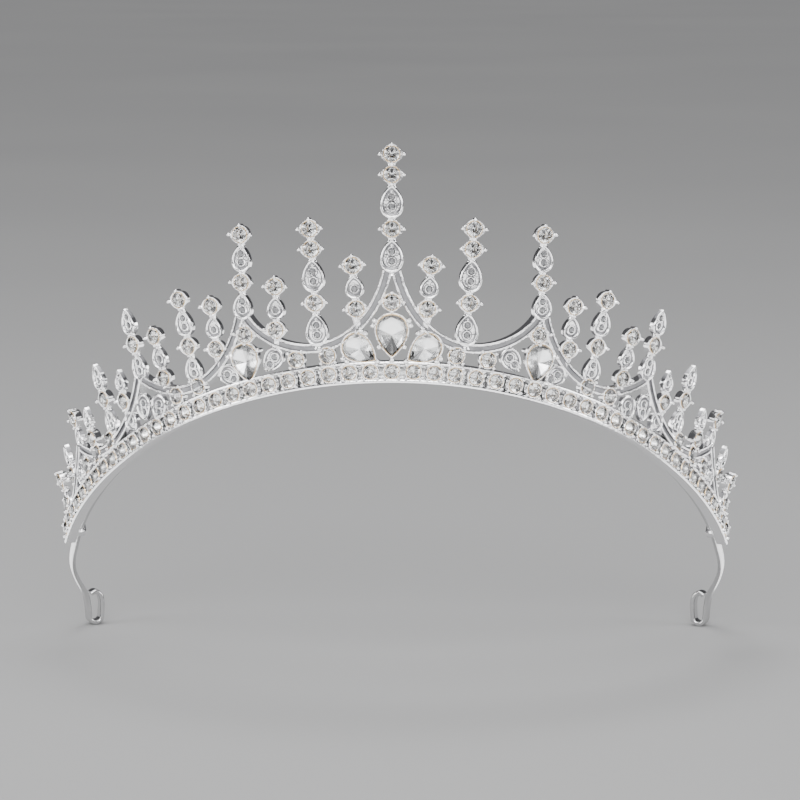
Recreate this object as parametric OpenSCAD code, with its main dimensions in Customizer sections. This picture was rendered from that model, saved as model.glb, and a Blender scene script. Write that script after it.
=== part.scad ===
// Bridal tiara: a cast crest of spires and hanging arches, set with stones,
// on a flat headband strip whose ends fold into hair-grip loops.
// Origin: centre of the head circle, level with the underside of the two loops.
// +Z is up, and the stones face -Y.

/* [Band] */
// Radius of the curved front of the crest
band_r = 75; // [74:0.5:76]
// Height of the band's lower edge at the centre front
edge_top = 65; // [64.5:0.5:66]
// Fall of the lower edge from the centre front to the side of the head
edge_drop = 59; // [58:0.5:60]
// Angle from the centre front to each end of the casting
band_end = 74; // [73:0.5:75]
// Depth of the band and arches from front to back
cast_depth = 2.4; // [2.2:0.1:2.6]
// Depth of the cups and frames from front to back
setting_depth = 1.9; // [1.8:0.1:2.1]

/* [Stones] */
// Diameter of the round stones in the spires
round_d = 3.3; // [3.1:0.1:3.5]
// Diameter of the stones in the base row
base_d = 3.0; // [2.8:0.1:3.1]
// Spacing of the stones along the base row
base_pitch = 4.2; // [4.1:0.1:4.6]
// Diameter of the stones in the gallery row
gallery_d = 3.2; // [3:0.1:3.4]
// Diameter of the small stones set inside the pear frames
pave_d = 1.4; // [1.2:0.1:1.5]

/* [Metalwork] */
// Radius of a claw
claw_r = 0.32; // [0.28:0.02:0.36]
// How far the claws stand in front of the casting
claw_front = 0.5; // [0.4:0.1:0.7]
// Width of a hanging arch
arch_w = 1.9; // [1.6:0.1:2.2]
// Depth of the groove along the front of an arch
groove_depth = 0.4; // [0.3:0.1:0.6]
// Width of the raised rim of a pear frame
rim_w = 0.45; // [0.4:0.05:0.55]

/* [Headband] */
// Width of the headband strip
strip_w = 2.8; // [2.4:0.1:3]
// Thickness of the headband strip
strip_t = 1.0; // [0.8:0.1:1.1]

/* [Hidden] */
// Half lengths of the spire elements, along the spire
round_half = 2.05;
// How far the side claws of a spire's cup stand out beyond the others
wing = 0.42;
// [half length, width, lower stone height, upper stone height] of each pear or leaf frame
large_pear = [3.4, 4.7, -1.05, 0.95];
middle_pear = [2.8, 4.2, -0.75, 1.0];
small_pear = [2.35, 3.8, -0.4, undef];
large_leaf = [2.75, 3.9, -0.75, 0.95];
small_leaf = [2.3, 3.3, -0.35, undef];

// Heights above the lower edge, square to it
rim_h = 0.7;
base_row_h = 2.3;
upper_rail_h = 4.1;
gallery_h = 6.2;

// Hanging arches: [peak, valley, next peak], each as [angle, height],
// then how much of a quarter oval each side takes
arches = [
    [[0.7, 87.6], [13.5, 71.6], [23.4, 77.4], [76, 60]],
    [[24.6, 77.4], [37.5, 61.2], [44.2, 62.8], [76, 35]],
    [[45.2, 62.8], [59.5, 44.9], [64.0, 45.4], [76, 25]],
];
// End arch: its peak, then where it runs into the band
end_arch = [[64.8, 45.4], [73.6, 27.4], 76];

// Spires: [angle, height of the lowest element's centre, sideways lean, outward lean,
//          foot length, elements from the bottom up]
// Elements: R round, L large pear, M middle pear, S small pear, F large leaf, f small leaf
centre_spire = [0, 90.6, 0, 0, 0.3, "LRLRR"];
side_spires = [
    [5.5, 79.9, 5, 0, 3.0, "RSR"],
    [11.7, 75.5, 4, 0, 0.2, "LRLRR"],
    [18.3, 75.2, 1, 0, 1.8, "RSR"],
    [24.0, 79.7, 1, 1, 0.4, "MRMR"],
    [28.7, 70.6, 7, 2, 3.2, "RSR"],
    [33.1, 66.0, 12, 3, 1.0, "MRMR"],
    [39.2, 63.6, 14, 4, 0.6, "RSR"],
    [45.0, 65.2, 15, 5, 0.4, "MRF"],
    [49.0, 57.5, 9, 6, 3.0, "Rf"],
    [52.8, 52.7, 18, 8, 1.4, "MRF"],
    [59.2, 48.0, 10, 9, 0.6, "Rf"],
    [64.5, 47.0, 16, 12, 0.6, "SR"],
    [68.2, 38.4, 12, 13, 2.4, "Rf"],
    [70.8, 32.4, 18, 20, 1.0, "SR"],
];
// The third spire stands on the left side only
left_only = 3;

// Gallery stones between the arches and the base row, by angle
gallery_angles = [9.4, 14.1, 30.4, 34.6, 50.6, 54.8, 58.6, 69.6];

// Filler frames under the side peaks: [angle, height, turn, kind]
fillers = [
    [18.9, 69.0, 145, "M"],
    [26.2, 65.2, -118, "M"],
    [40.4, 57.3, 176, "M"],
    [43.9, 57.0, 192, "M"],
    [46.9, 53.4, -140, "S"],
    [61.2, 41.0, 180, "S"],
    [64.2, 39.0, 190, "S"],
];

// Big stones: [angle, height, turn, width, length]
centre_pear = [0, 74.6, 180, 6.4, 8.6];
flank_pear = [4.95, 71.7, -123, 5.6, 7.4];
shoulder_pear = [23.4, 68.2, -166, 5.8, 7.8];

// Round stones under the peaks: [angle, height]
peak_rounds = [[0, 81.3], [23.5, 73.9]];

// Leg of the headband strip beyond the casting, right-hand side, down to the top of the loop
leg_points = [
    [71.2, -12.6, 18.3],
    [71.7, -7.9, 14.6],
    [71.1, -3.7, 10.9],
    [69.9, -0.9, 7.6],
    [69.4, 0.2, 4.6],
];
// Turn of the legs' flat faces, as the band's curve leaves them
leg_turn = 22;
// The loop folds inwards about this point, then its tip rises and curls back to the leg.
// Spots on the tip are [outwards through the strip, up] from the centre.
loop_centre = [67.9, 0.8, 1.9];
loop_r = 1.4;
loop_tip = [[-1.5, 1.6], [-1.55, 3.1], [-1.3, 4.4], [-0.7, 5.3], [0.15, 5.6], [1.0, 5.2]];

strip_gap = 0.05;
ring_step = 2.5;
arch_steps = 14;
deg = 180 / PI;
facets = 32;

side_count = len(side_spires);
spire_nodes = [
    for (side = ["left", "right"], i = [1:side_count])
        if (side == "left" || i != left_only) str("spire_", side, "_", i)
];
arch_names = ["centre_arch", "shoulder_arch", "side_arch", "end_arch"];
arch_nodes = [for (name = arch_names, side = ["left", "right"]) str(name, "_", side)];

// ---- Geometry of the curved wall ----

function edge_z(a) = edge_top - edge_drop * (1 - cos(a));
// Angle by which the square to the lower edge leans away from the centre
function edge_lean(a) = atan(edge_drop * sin(a) / band_r);
// Angle and height of a spot h above the lower edge, square to it
function above_edge(a, h) = [
    a + h * sin(edge_lean(a)) / band_r * deg,
    edge_z(a) + h * cos(edge_lean(a))
];
function on_wall(spot, r) = [r * sin(spot[0]), -r * cos(spot[0]), spot[1]];
function outward_at(a) = [sin(a), -cos(a), 0];
function unit(v) = v / norm(v);
function along(points, i) =
    unit(points[min(i + 1, len(points) - 1)] - points[max(i - 1, 0)]);

// A route is a list of [point, width direction]
function wall_route(spots, r) =
    let (points = [for (s = spots) on_wall(s, r)])
    [for (i = [0:len(spots) - 1])
        [points[i], unit(cross(outward_at(spots[i][0]), along(points, i)))]];
function edge_spots(h, limit) =
    [for (a = [-limit:2 * limit / round(2 * limit / ring_step):limit + 0.01]) above_edge(a, h)];

// Length of the base row from the centre to an angle, and the angle at a length
function row_length(a) = a <= 0 ? 0 : band_r / deg * sum_stretch(a, 24, 0);
function sum_stretch(a, n, i) =
    i == n ? 0 : a / n / cos(edge_lean(a * (i + 0.5) / n)) + sum_stretch(a, n, i + 1);
function angle_at(s, low, high, n) =
    let (middle = (low + high) / 2)
    n == 0 ? middle
    : row_length(middle) < s ? angle_at(s, middle, high, n - 1)
    : angle_at(s, low, middle, n - 1);
base_count = floor(row_length(band_end) / base_pitch);
base_angles = [for (i = [-base_count:base_count]) sign(i) * angle_at(abs(i) * base_pitch, 0, band_end, 14)];

// An arch falls from a peak to its valley and rises to the next peak as two parts of an oval
function side_of_arch(peak, valley, sweep) =
    [for (i = [0:arch_steps])
        let (t = sweep * i / arch_steps, across = sin(t) / sin(sweep), up = (1 - cos(t)) / (1 - cos(sweep)))
        [valley[0] + (peak[0] - valley[0]) * across, valley[1] + (peak[1] - valley[1]) * up]];
function backwards(list) = [for (i = [len(list) - 1:-1:0]) list[i]];
function without_first(list) = [for (i = [1:len(list) - 1]) list[i]];
function arch_spots(a) = concat(
    backwards(side_of_arch(a[0], a[1], a[3][0])),
    without_first(side_of_arch(a[2], a[1], a[3][1]))
);
function end_arch_spots() = backwards(side_of_arch(end_arch[0], end_arch[1], end_arch[2]));

// ---- Sweeps ----

// Sweeps a section, a list of [along the width, outwards], along a route.
// A section that isn't convex gives its caps as convex pieces, as lists of its corners.
module swept_bar(route, section, caps = undef) {
    n = len(section);
    pieces = is_undef(caps) ? [[for (j = [0:n - 1]) j]] : caps;
    count = len(route);
    points = [for (r = route) r[0]];
    corners = [
        for (i = [0:count - 1])
            let (
                width = route[i][1],
                outwards = unit(cross(along(points, i), width))
            )
            for (s = section) points[i] + s[0] * width + s[1] * outwards
    ];
    sides = [
        for (i = [0:count - 2], j = [0:n - 1])
            let (a = i * n + j, b = i * n + (j + 1) % n)
            each [[a, b, b + n], [a, b + n, a + n]]
    ];
    first = [for (piece = pieces) backwards(piece)];
    last = [for (piece = pieces) [for (j = piece) (count - 1) * n + j]];
    polyhedron(points = corners, faces = concat(first, sides, last), convexity = 6);
}

// A plain bar section from -depth to 0 outwards
function bar_section(w, depth, front) =
    [[-w / 2, front - depth], [w / 2, front - depth], [w / 2, front], [-w / 2, front]];
// A bar with a groove along its front
function grooved_section(w, depth) =
    let (half = w / 2, lip = w / 2 - rim_w, floor_z = -groove_depth)
    [[-half, -depth], [half, -depth], [half, 0], [lip, 0],
     [lip, floor_z], [-lip, floor_z], [-lip, 0], [-half, 0]];
grooved_caps = [[0, 1, 4, 5], [1, 2, 3, 4], [0, 5, 6, 7]];

// Puts a shape on the wall: X to the right, Y up, Z outwards, 0 at the casting's front
module on_band(a, z, lean = 0, flare = 0) {
    rotate([0, 0, a])
        translate([0, -band_r, z])
            rotate([flare, 0, 0])
                rotate([0, lean, 0])
                    rotate([90, 0, 0])
                        children();
}

module both_sides() {
    children();
    mirror([1, 0, 0]) children();
}

// ---- Stones and their settings, drawn facing +Z ----

module round_stone(d) {
    table_r = 0.3 * d;
    rotate_extrude($fn = facets)
        polygon([[0, -0.1 - 0.45 * d], [0.5 * d, -0.2], [0.5 * d, -0.08], [table_r, 0.14 * d], [0, 0.14 * d]]);
}

// Four claws; every other one stands further out by the wing
module claws(d, turn, wing) {
    for (k = [0:3])
        rotate([0, 0, turn + 90 * k])
            translate([d / 2 + claw_r + 0.03 + (k % 2 == 0 ? wing : 0), 0, 0.3 - setting_depth])
                cylinder(h = setting_depth - 0.3 + claw_front, r = claw_r, $fn = 16);
}

// A round cup's outline, drawn out to a lozenge by its wings
module cup_outline(d, wing) {
    steps = 24;
    polygon([for (i = [0:steps - 1])
        let (t = 360 * i / steps, r = d / 2 + 0.3 + wing * pow(abs(cos(t)), 5))
        [r * cos(t), r * sin(t)]]);
}

// An open-backed cup with a ledge for the stone and four claws round it
module round_setting(d, turn, wing = 0) {
    ledge = 0.5;
    difference() {
        translate([0, 0, -setting_depth])
            if (wing > 0) linear_extrude(setting_depth - 0.12) cup_outline(d, wing);
            else cylinder(h = setting_depth - 0.12, d = d + 0.6, $fn = facets);
        translate([0, 0, -ledge]) cylinder(h = 1, d = d + 0.04, $fn = facets);
        translate([0, 0, -setting_depth - 1]) cylinder(h = setting_depth + 1, d = d - 0.4, $fn = facets);
    }
    claws(d, turn, wing);
}

// A teardrop with its point at +Y, centred on its own height
module pear_outline(w, l) {
    r = w / 2;
    reach = l - r;
    tangent = acos(r / reach);
    steps = 20;
    polygon(concat(
        [for (i = [0:steps])
            let (a = 90 + tangent + (360 - 2 * tangent) * i / steps)
            [r * cos(a), r - l / 2 + r * sin(a)]],
        [[0, l / 2]]
    ));
}

// A raised rim round a sunk plate that is bored for its small stones
module pear_frame(shape) {
    l = 2 * shape[0];
    w = shape[1];
    pocket = 0.5;
    depth = setting_depth - 0.3;
    difference() {
        translate([0, 0, -depth]) linear_extrude(depth) pear_outline(w, l);
        translate([0, 0, -pocket]) linear_extrude(1) pear_outline(w - 2 * rim_w, l - 3 * rim_w);
        for (y = pave_heights(shape))
            translate([0, y, -depth - 1]) cylinder(h = depth + 2, d = pave_d, $fn = 24);
    }
}

function pave_heights(shape) = is_undef(shape[3]) ? [shape[2]] : [shape[2], shape[3]];

module pave_pair(shape) {
    for (y = pave_heights(shape))
        translate([0, y, -0.45]) round_stone(pave_d - 0.04);
}

// ---- Spires ----

function is_round(kind) = kind == "R";
function frame_of(kind) =
    kind == "L" ? large_pear
    : kind == "M" ? middle_pear
    : kind == "S" ? small_pear
    : kind == "F" ? large_leaf
    : small_leaf;
function half_of(kind) = is_round(kind) ? round_half : frame_of(kind)[0];
// Height of element i above the lowest one's centre
function rise(kinds, i) = i == 0 ? 0 : rise(kinds, i - 1) + half_of(kinds[i - 1]) + half_of(kinds[i]);

module spire_metal(kinds, foot) {
    neck_w = 1.7;
    for (i = [0:len(kinds) - 1])
        translate([0, rise(kinds, i), 0]) {
            if (is_round(kinds[i])) round_setting(round_d, 0, wing);
            else pear_frame(frame_of(kinds[i]));
            neck_l = i == 0 ? foot + 0.8 : 1;
            translate([-neck_w / 2, 0.5 - half_of(kinds[i]) - neck_l, 0.2 - setting_depth])
                cube([neck_w, neck_l, setting_depth - 0.6]);
        }
}

module on_spire(s) {
    on_band(s[0], s[1], s[2], s[3]) children();
}

module mirrored_if(flip) {
    if (flip) mirror([1, 0, 0]) children();
    else children();
}

module spire(s, flip) {
    color("silver") mirrored_if(flip) on_spire(s) spire_metal(s[5], s[4]);
}

module spire_stones(round_ones) {
    for (s = [centre_spire]) on_spire(s) stones_up(s[5], round_ones);
    for (flip = [false, true], i = [1:side_count])
        if (flip || i != left_only)
            mirrored_if(flip) on_spire(side_spires[i - 1]) stones_up(side_spires[i - 1][5], round_ones);
}

module stones_up(kinds, round_ones) {
    for (i = [0:len(kinds) - 1])
        translate([0, rise(kinds, i), 0]) {
            if (is_round(kinds[i]) && round_ones) round_stone(round_d);
            if (!is_round(kinds[i]) && !round_ones) pave_pair(frame_of(kinds[i]));
        }
}

module spire_round_stones() {
    color("white") spire_stones(true);
}

module spire_pave_stones() {
    color("white") spire_stones(false);
}

// ---- Base band ----

module lower_rim() {
    color("silver")
        swept_bar(wall_route(edge_spots(rim_h / 2, band_end), band_r), bar_section(rim_h, cast_depth, 0));
}

module upper_rail() {
    rail_h = 0.5;
    color("silver")
        swept_bar(wall_route(edge_spots(upper_rail_h, band_end), band_r), bar_section(rail_h, cast_depth, 0));
}

module at_base_stones() {
    for (a = base_angles) {
        spot = above_edge(a, base_row_h);
        on_band(spot[0], spot[1], edge_lean(a)) children();
    }
}

module base_settings() {
    color("silver") at_base_stones() round_setting(base_d, 45);
}

module base_stones() {
    color("white") at_base_stones() round_stone(base_d);
}

module at_gallery_stones() {
    both_sides()
        for (a = gallery_angles) {
            spot = above_edge(a, gallery_h);
            on_band(spot[0], spot[1], edge_lean(a)) children();
        }
}

module gallery_settings() {
    color("silver") at_gallery_stones() round_setting(gallery_d, 45);
}

module gallery_stones() {
    color("white") at_gallery_stones() round_stone(gallery_d);
}

// ---- Arches ----

module arch(i, flip) {
    spots = i < len(arches) ? arch_spots(arches[i]) : end_arch_spots();
    color("silver") mirrored_if(flip)
        swept_bar(wall_route(spots, band_r), grooved_section(arch_w, cast_depth), grooved_caps);
}

// ---- Clusters under the peaks ----

// A claw-set cup that follows a pear stone, with a claw at its point, at its broad end
// and on each side of its broad end
module pear_setting(w, l) {
    wall = 0.35;
    big_claw_r = 0.5;
    claw_back = 1.4;
    claw_top = claw_front + 0.3;
    difference() {
        translate([0, 0, -setting_depth])
            linear_extrude(setting_depth - 0.1) pear_outline(w + 2 * wall, l + 2 * wall);
        translate([0, 0, -setting_depth - 1])
            linear_extrude(setting_depth + 2) pear_outline(w - 0.5, l - 0.6);
        translate([0, 0, -0.9]) linear_extrude(2) pear_outline(w + 0.04, l + 0.06);
    }
    belly = w / 2 - l / 2;
    side_x = (w / 2 + 0.6) * cos(33);
    side_y = belly - (w / 2 + 0.6) * sin(33);
    for (spot = [[-side_x, side_y], [side_x, side_y], [0, -l / 2 - claw_r], [0, l / 2 + claw_r]])
        translate([spot[0], spot[1], -claw_back]) cylinder(h = claw_back + claw_top, r = big_claw_r, $fn = 16);
}

// A pear stone: a girdle slab with a smaller table on it
module pear_stone(w, l) {
    translate([0, 0, -0.7]) linear_extrude(0.7) pear_outline(w, l);
    translate([0, 0, -0.2]) linear_extrude(0.8) pear_outline(w * 0.6, l * 0.6);
}

module turned(spec) {
    on_band(spec[0], spec[1], spec[2]) children();
}

module centre_pear_settings() {
    color("silver") {
        turned(centre_pear) pear_setting(centre_pear[3], centre_pear[4]);
        both_sides() turned(flank_pear) pear_setting(flank_pear[3], flank_pear[4]);
    }
}

module centre_pear_stones() {
    color("white") {
        turned(centre_pear) pear_stone(centre_pear[3], centre_pear[4]);
        both_sides() turned(flank_pear) pear_stone(flank_pear[3], flank_pear[4]);
    }
}

module shoulder_pear_settings() {
    color("silver") both_sides() turned(shoulder_pear) pear_setting(shoulder_pear[3], shoulder_pear[4]);
}

module shoulder_pear_stones() {
    color("white") both_sides() turned(shoulder_pear) pear_stone(shoulder_pear[3], shoulder_pear[4]);
}

module at_peak_rounds() {
    on_band(peak_rounds[0][0], peak_rounds[0][1]) children();
    both_sides() on_band(peak_rounds[1][0], peak_rounds[1][1]) children();
}

module peak_round_settings() {
    color("silver") at_peak_rounds() round_setting(round_d, 0, wing);
}

module peak_round_stones() {
    color("white") at_peak_rounds() round_stone(round_d);
}

module filler_frames() {
    color("silver") both_sides() for (f = fillers) turned(f) pear_frame(frame_of(f[3]));
}

module filler_stones() {
    color("white") both_sides() for (f = fillers) turned(f) pave_pair(frame_of(f[3]));
}

// ---- Headband ----

strip_r = band_r - cast_depth - strip_gap;
strip_h = 1.9;
arc_end = 76;

function strip_half() =
    let (
        arc = wall_route([for (a = [0:ring_step:arc_end + 0.01]) above_edge(a, strip_h)], strip_r - strip_t / 2),
        level = [sin(leg_turn), cos(leg_turn), 0],
        through = [cos(leg_turn), -sin(leg_turn), 0],
        turn = [for (k = [0:9])
            let (t = 20 * k)
            [loop_centre + loop_r * (cos(t) * through - [0, 0, sin(t)]), level]],
        leg_lift = len(leg_points),
        end_width = arc[len(arc) - 1][1],
        leg = [for (i = [0:leg_lift - 1])
            [leg_points[i], unit(end_width + (level - end_width) * min(1, (i + 1) / (leg_lift - 1)))]],
        tip = [for (p = loop_tip) [loop_centre + p[0] * through + [0, 0, p[1]], level]]
    )
    concat(arc, leg, turn, tip);

function reflected(route) =
    [for (i = [len(route) - 1:-1:1]) [[-route[i][0][0], route[i][0][1], route[i][0][2]],
                                       [-route[i][1][0], route[i][1][1], route[i][1][2]]]];

module headband_strip() {
    half = strip_half();
    half_t = strip_t / 2;
    half_w = strip_w / 2;
    edge = strip_t / 4;
    section = [[edge - half_w, -half_t], [half_w - edge, -half_t], [half_w, edge - half_t], [half_w, half_t - edge],
               [half_w - edge, half_t], [edge - half_w, half_t], [-half_w, half_t - edge], [-half_w, edge - half_t]];
    color("gainsboro") swept_bar(concat(reflected(half), half), section);
}

// A small clip folded round the strip near each end of the casting
module end_clips() {
    clip_a = 71.5;
    clip_l = 2;
    wall = 0.5;
    spot = above_edge(clip_a, strip_h);
    inner_w = strip_w + 0.1;
    inner_t = strip_t + 0.2;
    middle = -cast_depth - strip_gap - strip_t / 2;
    color("silver") both_sides()
        on_band(spot[0], spot[1], edge_lean(clip_a))
            difference() {
                translate([-clip_l / 2, -inner_w / 2 - wall, middle - inner_t / 2 - wall])
                    cube([clip_l, inner_w + 2 * wall, inner_t + wall]);
                translate([-clip_l, -inner_w / 2, middle - inner_t / 2])
                    cube([2 * clip_l, inner_w, inner_t + 1]);
            }
}

headband_strip();
end_clips();
lower_rim();
upper_rail();
base_settings();
base_stones();
gallery_settings();
gallery_stones();
centre_pear_settings();
centre_pear_stones();
shoulder_pear_settings();
shoulder_pear_stones();
peak_round_settings();
peak_round_stones();
filler_frames();
filler_stones();
spire(centre_spire, false);  // spire_centre
spire_round_stones();
spire_pave_stones();
for (i = [0:len(arch_names) - 1], side = ["left", "right"])
    arch(i, side == "left");
for (i = [1:side_count], side = ["left", "right"])
    if (side == "left" || i != left_only)
        spire(side_spires[i - 1], side == "left");
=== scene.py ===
from math import atan, cos, degrees, pi, radians, sin

import bpy
from mathutils import Matrix, Vector


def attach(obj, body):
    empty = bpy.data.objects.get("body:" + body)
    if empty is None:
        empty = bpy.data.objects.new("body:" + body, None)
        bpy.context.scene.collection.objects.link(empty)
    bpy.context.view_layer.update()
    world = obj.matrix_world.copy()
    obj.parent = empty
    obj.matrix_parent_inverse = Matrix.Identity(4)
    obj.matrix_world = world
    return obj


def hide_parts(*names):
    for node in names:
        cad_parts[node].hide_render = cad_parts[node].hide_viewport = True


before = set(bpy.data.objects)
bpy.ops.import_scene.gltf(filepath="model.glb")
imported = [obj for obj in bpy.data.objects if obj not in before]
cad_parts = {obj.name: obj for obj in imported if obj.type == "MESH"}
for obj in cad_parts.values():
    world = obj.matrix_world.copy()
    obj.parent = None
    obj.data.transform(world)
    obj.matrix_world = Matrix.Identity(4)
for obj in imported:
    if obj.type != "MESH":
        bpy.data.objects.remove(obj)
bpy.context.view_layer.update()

# Shapes are modelled in millimetres, facing +Z with their top at +Y, and then set on the
# curved wall of the band in metres.
MM = Matrix.Scale(0.001, 4)
# How close two corners of a shape that is already in metres may be
NEAREST_IN_METRES = 0.000001

# ---- The curved wall of the band ----

BAND_R = 75
EDGE_TOP = 65
EDGE_DROP = 59
BAND_END = 74
CAST_DEPTH = 2.4
SETTING_DEPTH = 1.9

# ---- Stones ----

ROUND_D = 3.3
BASE_D = 3.0
BASE_PITCH = 4.2
GALLERY_D = 3.2
PAVE_D = 1.36
PAVE_SUNK = 0.42

# ---- Heights above the lower edge, square to it ----

RIM_H = 0.7
BASE_ROW_H = 2.3
RAIL_MIDDLE_H = 4.1
RAIL_H = 0.5
GALLERY_H = 6.2
STRIP_H = 1.9

# ---- Frames of the spires: half length, width, heights of the small stones, outline ----

FRAMES = {
    "L": (3.4, 4.7, (-1.05, 0.95), "pear"),
    "M": (2.8, 4.2, (-0.75, 1.0), "pear"),
    "S": (2.35, 3.8, (-0.4,), "pear"),
    "F": (2.75, 3.9, (-0.75, 0.95), "leaf"),
    "f": (2.3, 3.3, (-0.35,), "leaf"),
}
ROUND_HALF = 2.05

# Angle, height of the lowest element, sideways lean, outward lean, foot length, elements
CENTRE_SPIRE = (0, 90.6, 0, 0, 0.3, "LRLRR")
SIDE_SPIRES = (
    (5.5, 79.9, 5, 0, 3.0, "RSR"),
    (11.7, 75.5, 4, 0, 0.2, "LRLRR"),
    (18.3, 75.2, 1, 0, 1.8, "RSR"),
    (24.0, 79.7, 1, 1, 0.4, "MRMR"),
    (28.7, 70.6, 7, 2, 3.2, "RSR"),
    (33.1, 66.0, 12, 3, 1.0, "MRMR"),
    (39.2, 63.6, 14, 4, 0.6, "RSR"),
    (45.0, 65.2, 15, 5, 0.4, "MRF"),
    (49.0, 57.5, 9, 6, 3.0, "Rf"),
    (52.8, 52.7, 18, 8, 1.4, "MRF"),
    (59.2, 48.0, 10, 9, 0.6, "Rf"),
    (64.5, 47.0, 16, 12, 0.6, "SR"),
    (68.2, 38.4, 12, 13, 2.4, "Rf"),
    (70.8, 32.4, 18, 20, 1.0, "SR"),
)
LEFT_ONLY = 3
SIDES = (("right", 1), ("left", -1))

# ---- Arches: peak, valley, next peak, as angle and height, and the sweep of each side ----

ARCH_W = 1.9
LIP_W = 0.45
GROOVE_DEPTH = 0.4
ARCHES = {
    "centre_arch": ((0.7, 87.6), (13.5, 71.6), (23.4, 77.4), (76, 60)),
    "shoulder_arch": ((24.6, 77.4), (37.5, 61.2), (44.2, 62.8), (76, 35)),
    "side_arch": ((45.2, 62.8), (59.5, 44.9), (64.0, 45.4), (76, 25)),
    "end_arch": ((64.8, 45.4), (73.6, 27.4), None, (76, 0)),
}

# ---- Clusters under the peaks: angle, height, turn, then the frame's kind or the stone's size ----

GALLERY_ANGLES = (9.4, 14.1, 30.4, 34.6, 50.6, 54.8, 58.6, 69.6)
FILLERS = (
    (18.9, 69.0, 145, "M"),
    (26.2, 65.2, -118, "M"),
    (40.4, 57.3, 176, "M"),
    (43.9, 57.0, 192, "M"),
    (46.9, 53.4, -140, "S"),
    (61.2, 41.0, 180, "S"),
    (64.2, 39.0, 190, "S"),
)
# Turns of the claws round a pear stone, from its point
CENTRE_CLAWS = (0, 62, 298, 114, 128, 232, 246)
FLANK_CLAWS = (0, 101, 115, 245, 259)
SHOULDER_CLAWS = (0, 115, 245)
CENTRE_PEAR = (0, 74.6, 180, 6.4, 8.6)
FLANK_PEAR = (4.95, 71.7, -123, 5.6, 7.4)
SHOULDER_PEAR = (23.4, 68.2, -166, 5.8, 7.8)
PEAK_ROUNDS = ((0, 81.3), (23.5, 73.9), (-23.5, 73.9))

# ---- Headband strip ----

STRIP_W = 2.8
STRIP_T = 1.0
STRIP_GAP = 0.05
STRIP_R = BAND_R - CAST_DEPTH - STRIP_GAP
STRIP_CORNER_R = 0.36
ARC_END = 76
LEG_POINTS = (
    (71.2, -12.6, 18.3),
    (71.7, -7.9, 14.6),
    (71.1, -3.7, 10.9),
    (69.9, -0.9, 7.6),
    (69.4, 0.2, 4.6),
)
# How many stations along the strip its brushed pattern takes to run once
STATIONS_A_TURN = 40
LOOP_CENTRE = Vector((67.9, 0.8, 1.9))
LOOP_R = 1.4
# Spots on the loop's tip, as outwards through the strip and up from the loop's middle
LOOP_TIP = ((-1.5, 1.6), (-1.55, 3.1), (-1.3, 4.4), (-0.7, 5.3), (0.15, 5.6), (1.0, 5.2))
LEG_TURN = 22
CLIP_ANGLE = 71.5
CLIP_L = 2


# ---- Shader maths ----


class Socket:
    """A shader value. Arithmetic on it adds the Math nodes."""

    def __init__(self, paint, socket):
        self.paint = paint
        self.socket = socket

    def math(self, operation, first, second):
        return self.paint.node("Math", {"operation": operation}, {0: first, 1: second})

    def __add__(self, other):
        return self.math("ADD", self, other)

    def __radd__(self, other):
        return self.math("ADD", other, self)

    def __sub__(self, other):
        return self.math("SUBTRACT", self, other)

    def __rsub__(self, other):
        return self.math("SUBTRACT", other, self)

    def __mul__(self, other):
        return self.math("MULTIPLY", self, other)

    def __rmul__(self, other):
        return self.math("MULTIPLY", other, self)


class Paint:
    """A material under construction."""

    def __init__(self, name):
        self.material = bpy.data.materials.new(name)
        self.material.use_nodes = True
        self.tree = self.material.node_tree
        self.tree.nodes.clear()

    def node(self, kind, settings=None, sockets=None, output=0):
        """Adds a node, makes its settings, fills its sockets and returns one of its outputs."""
        made = self.tree.nodes.new("ShaderNode" + kind)
        for key, value in (settings or {}).items():
            setattr(made, key, value)
        for key, value in (sockets or {}).items():
            if isinstance(value, Socket):
                self.tree.links.new(value.socket, made.inputs[key])
            else:
                made.inputs[key].default_value = value
        return Socket(self, made.outputs[output])

    def place(self):
        return self.node("TexCoord", output="Object")

    def noise(self, place, scale, detail=2.0):
        return self.node("TexNoise", None, {"Vector": place, "Scale": scale, "Detail": detail})

    def blend(self, factor, first, second):
        """A colour between two, by a factor."""
        sockets = {"Factor": factor, 6: (*first, 1), 7: (*second, 1)}
        return self.node("Mix", {"data_type": "RGBA"}, sockets, 2)

    def bump(self, height, strength, distance):
        sockets = {"Strength": strength, "Distance": distance, "Height": height}
        return self.node("Bump", None, sockets)

    def surface(self, **sockets):
        """A finished material, from the surface's sockets with _ for each space in their names."""
        named = {key.replace("_", " "): value for key, value in sockets.items()}
        shader = self.node("BsdfPrincipled", None, named)
        out = self.tree.nodes.new("ShaderNodeOutputMaterial")
        self.tree.links.new(shader.socket, out.inputs["Surface"])
        return self.material


def plated_silver():
    """Bright plating over cast metal: cloudy in places, with fine polishing marks."""
    paint = Paint("plated_silver")
    place = paint.place()
    cloud = paint.noise(place, 620)
    marks = paint.noise(place, 2600)
    colour = paint.blend(cloud, (0.90, 0.90, 0.92), (0.97, 0.965, 0.96))
    roughness = 0.08 + cloud * 0.1 + marks * 0.05
    relief = paint.bump(cloud + marks * 0.3, 0.3, 0.0003)
    return paint.surface(Base_Color=colour, Metallic=1.0, Roughness=roughness, Normal=relief)


def painted_shade_metal():
    """The same casting in its recesses, greyer there as painted shade, and finely grained."""
    paint = Paint("painted_shade_metal")
    place = paint.place()
    grain = paint.noise(place, 3500)
    cloud = paint.noise(place, 500)
    colour = paint.blend(cloud, (0.16, 0.16, 0.17), (0.34, 0.34, 0.35))
    relief = paint.bump(grain, 0.3, 0.0001)
    return paint.surface(Base_Color=colour, Metallic=1.0, Roughness=0.28 + grain * 0.2, Normal=relief)


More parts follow.
